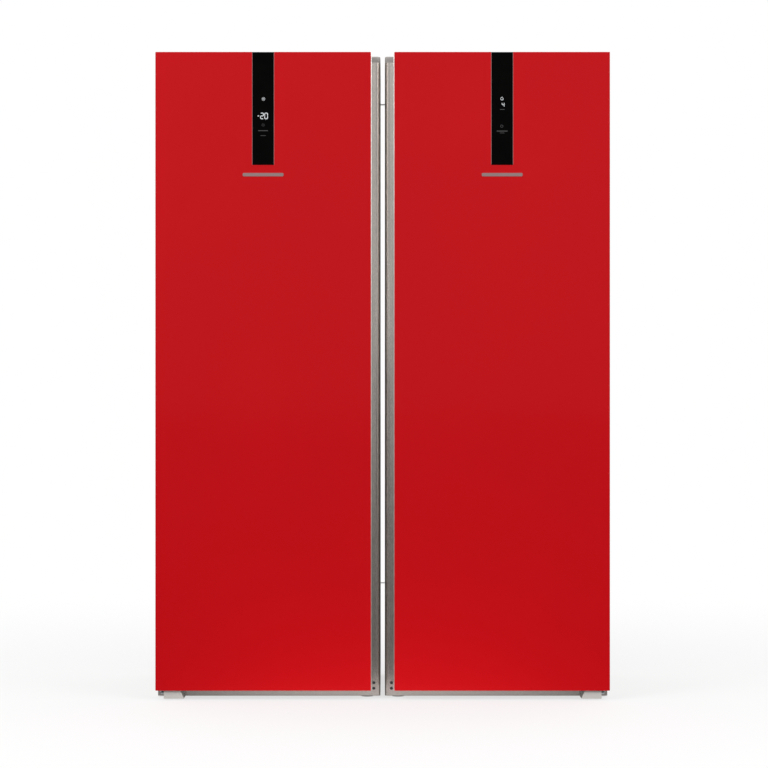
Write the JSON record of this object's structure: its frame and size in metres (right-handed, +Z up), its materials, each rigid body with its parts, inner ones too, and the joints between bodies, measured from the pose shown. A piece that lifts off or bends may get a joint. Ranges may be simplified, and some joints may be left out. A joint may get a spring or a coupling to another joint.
{
  "type": "side by side refrigerator",
  "caption": "Twin column freezer and refrigerator with flat red glass doors, full-height side grips, drawers, shelves and door bins.",
  "frame": {"origin": "centre of the outline of the pair at floor level", "axes": "+Z up, doors face -Y, +X to the viewer's right: the refrigerator is at +X and the freezer at -X"},
  "size_m": [1.202, 0.6516, 1.714],
  "materials": {
    "red_glass": "gloss",
    "black_glass": "gloss",
    "satin_metal": "satin",
    "door_trim": "satin",
    "grip_aluminium": "satin",
    "rigid_foam": "matte",
    "seal_rubber": "matte",
    "white_plastic": "satin",
    "clear_plastic": "gloss",
    "shelf_glass": "gloss",
    "cabinet_paint": "satin",
    "top_plastic": "satin",
    "light_plastic": "satin",
    "black_steel": "satin",
    "zinc_steel": "satin",
    "copper": "satin",
    "fin_aluminium": "satin",
    "black_rubber": "matte",
    "dark_plastic": "matte",
    "lamp_lens": "satin",
    "white_enamel": "satin"
  },
  "bodies": {
    "cabinets": {"air_ducts": "white_plastic", "back_panels": "zinc_steel", "base_frames": "zinc_steel", "cabinet_insulation": "rigid_foam", "cabinet_panels": "cabinet_paint", "compressor_grommets": "black_rubber", "compressors": "black_steel", "condensers": "black_steel", "control_boxes": "dark_plastic", "drip_trays": "dark_plastic", "evaporators": "fin_aluminium", "fan_motors": "dark_plastic", "fasteners": "zinc_steel", "fridge_shelf_trims": "white_plastic", "glass_shelves": "shelf_glass", "hinge_covers": "top_plastic", "hinge_foot_covers": "light_plastic", "hole_plugs": "dark_plastic", "inner_liners": "white_plastic", "joining_brackets": "white_enamel", "led_lamps": "lamp_lens", "lower_hinges": "zinc_steel", "machine_room_covers": "black_steel", "power_inlets": "dark_plastic", "refrigerant_pipes": "copper", "top_covers": "top_plastic", "upper_hinges": "zinc_steel"},
    "freezer_door": {"freezer_door_glass": "red_glass", "freezer_display_panel": "black_glass", "freezer_badge": "satin_metal", "freezer_door_frame": "door_trim", "freezer_door_foam": "rigid_foam", "freezer_door_grip": "grip_aluminium", "freezer_door_gasket": "seal_rubber", "freezer_door_liner": "white_plastic"},
    "fridge_door": {"fridge_door_glass": "red_glass", "fridge_display_panel": "black_glass", "fridge_badge": "satin_metal", "fridge_door_frame": "door_trim", "fridge_door_foam": "rigid_foam", "fridge_door_grip": "grip_aluminium", "fridge_door_gasket": "seal_rubber", "fridge_door_liner": "white_plastic", "fridge_door_bins": "clear_plastic"},
    "freezer_drawer_1": {"freezer_drawer_1": "clear_plastic"},
    "freezer_drawer_2": {"freezer_drawer_2": "clear_plastic"},
    "freezer_drawer_3": {"freezer_drawer_3": "clear_plastic"},
    "freezer_drawer_4": {"freezer_drawer_4": "clear_plastic"},
    "freezer_drawer_5": {"freezer_drawer_5": "clear_plastic"},
    "fridge_crisper_1": {"fridge_crisper_1": "clear_plastic"},
    "fridge_crisper_2": {"fridge_crisper_2": "clear_plastic"},
    "freezer_fan": {"freezer_fan": "dark_plastic"},
    "freezer_outer_foot": {"freezer_outer_foot": "dark_plastic"},
    "freezer_inner_foot": {"freezer_inner_foot": "dark_plastic"},
    "freezer_rear_rollers": {"freezer_rear_rollers": "dark_plastic"},
    "fridge_fan": {"fridge_fan": "dark_plastic"},
    "fridge_outer_foot": {"fridge_outer_foot": "dark_plastic"},
    "fridge_inner_foot": {"fridge_inner_foot": "dark_plastic"},
    "fridge_rear_rollers": {"fridge_rear_rollers": "dark_plastic"}
  },
  "joints": [
    {"name": "freezer_door_hinge", "type": "hinge", "parent": "cabinets", "child": "freezer_door", "pos_m": [-0.577, -0.294, 0.86], "axis": [0, 0, -1], "range_deg": [0, 110]},
    {"name": "fridge_door_hinge", "type": "hinge", "parent": "cabinets", "child": "fridge_door", "pos_m": [0.577, -0.294, 0.86], "axis": [0, 0, 1], "range_deg": [0, 110]},
    {"name": "freezer_drawer_1_slide", "type": "slide", "parent": "cabinets", "child": "freezer_drawer_1", "axis": [0, -1, 0], "range_m": [0, 0.173]},
    {"name": "freezer_drawer_2_slide", "type": "slide", "parent": "cabinets", "child": "freezer_drawer_2", "axis": [0, -1, 0], "range_m": [0, 0.173]},
    {"name": "freezer_drawer_3_slide", "type": "slide", "parent": "cabinets", "child": "freezer_drawer_3", "axis": [0, -1, 0], "range_m": [0, 0.173]},
    {"name": "freezer_drawer_4_slide", "type": "slide", "parent": "cabinets", "child": "freezer_drawer_4", "axis": [0, -1, 0], "range_m": [0, 0.173]},
    {"name": "freezer_drawer_5_slide", "type": "slide", "parent": "cabinets", "child": "freezer_drawer_5", "axis": [0, -1, 0], "range_m": [0, 0.173]},
    {"name": "fridge_crisper_1_slide", "type": "slide", "parent": "cabinets", "child": "fridge_crisper_1", "axis": [0, -1, 0], "range_m": [0, 0.221]},
    {"name": "fridge_crisper_2_slide", "type": "slide", "parent": "cabinets", "child": "fridge_crisper_2", "axis": [0, -1, 0], "range_m": [0, 0.221]},
    {"name": "freezer_fan_spin", "type": "hinge", "parent": "cabinets", "child": "freezer_fan", "pos_m": [-0.3035, 0.202, 1.5], "axis": [0, 1, 0], "continuous": true},
    {"name": "freezer_outer_foot_screw", "type": "hinge", "parent": "cabinets", "child": "freezer_outer_foot", "pos_m": [-0.5655, -0.226, 0.01], "axis": [0, 0, 1], "continuous": true},
    {"name": "freezer_inner_foot_screw", "type": "hinge", "parent": "cabinets", "child": "freezer_inner_foot", "pos_m": [-0.0415, -0.226, 0.01], "axis": [0, 0, 1], "continuous": true},
    {"name": "freezer_rear_rollers_roll", "type": "hinge", "parent": "cabinets", "child": "freezer_rear_rollers", "pos_m": [-0.3035, 0.256, 0.015], "axis": [1, 0, 0], "continuous": true},
    {"name": "fridge_fan_spin", "type": "hinge", "parent": "cabinets", "child": "fridge_fan", "pos_m": [0.3035, 0.225, 1.54], "axis": [0, 1, 0], "continuous": true},
    {"name": "fridge_outer_foot_screw", "type": "hinge", "parent": "cabinets", "child": "fridge_outer_foot", "pos_m": [0.5655, -0.226, 0.01], "axis": [0, 0, 1], "continuous": true},
    {"name": "fridge_inner_foot_screw", "type": "hinge", "parent": "cabinets", "child": "fridge_inner_foot", "pos_m": [0.0415, -0.226, 0.01], "axis": [0, 0, 1], "continuous": true},
    {"name": "fridge_rear_rollers_roll", "type": "hinge", "parent": "cabinets", "child": "fridge_rear_rollers", "pos_m": [0.3035, 0.256, 0.015], "axis": [1, 0, 0], "continuous": true}
  ],
  "couplings": [
    {"joint": "freezer_drawer_1_slide", "follows": "freezer_door_hinge", "m_per_rad": 0.09},
    {"joint": "freezer_drawer_2_slide", "follows": "freezer_door_hinge", "m_per_rad": 0.09},
    {"joint": "freezer_drawer_3_slide", "follows": "freezer_door_hinge", "m_per_rad": 0.09},
    {"joint": "freezer_drawer_4_slide", "follows": "freezer_door_hinge", "m_per_rad": 0.09},
    {"joint": "freezer_drawer_5_slide", "follows": "freezer_door_hinge", "m_per_rad": 0.09},
    {"joint": "fridge_crisper_1_slide", "follows": "fridge_door_hinge", "m_per_rad": 0.115},
    {"joint": "fridge_crisper_2_slide", "follows": "fridge_door_hinge", "m_per_rad": 0.115}
  ]
}
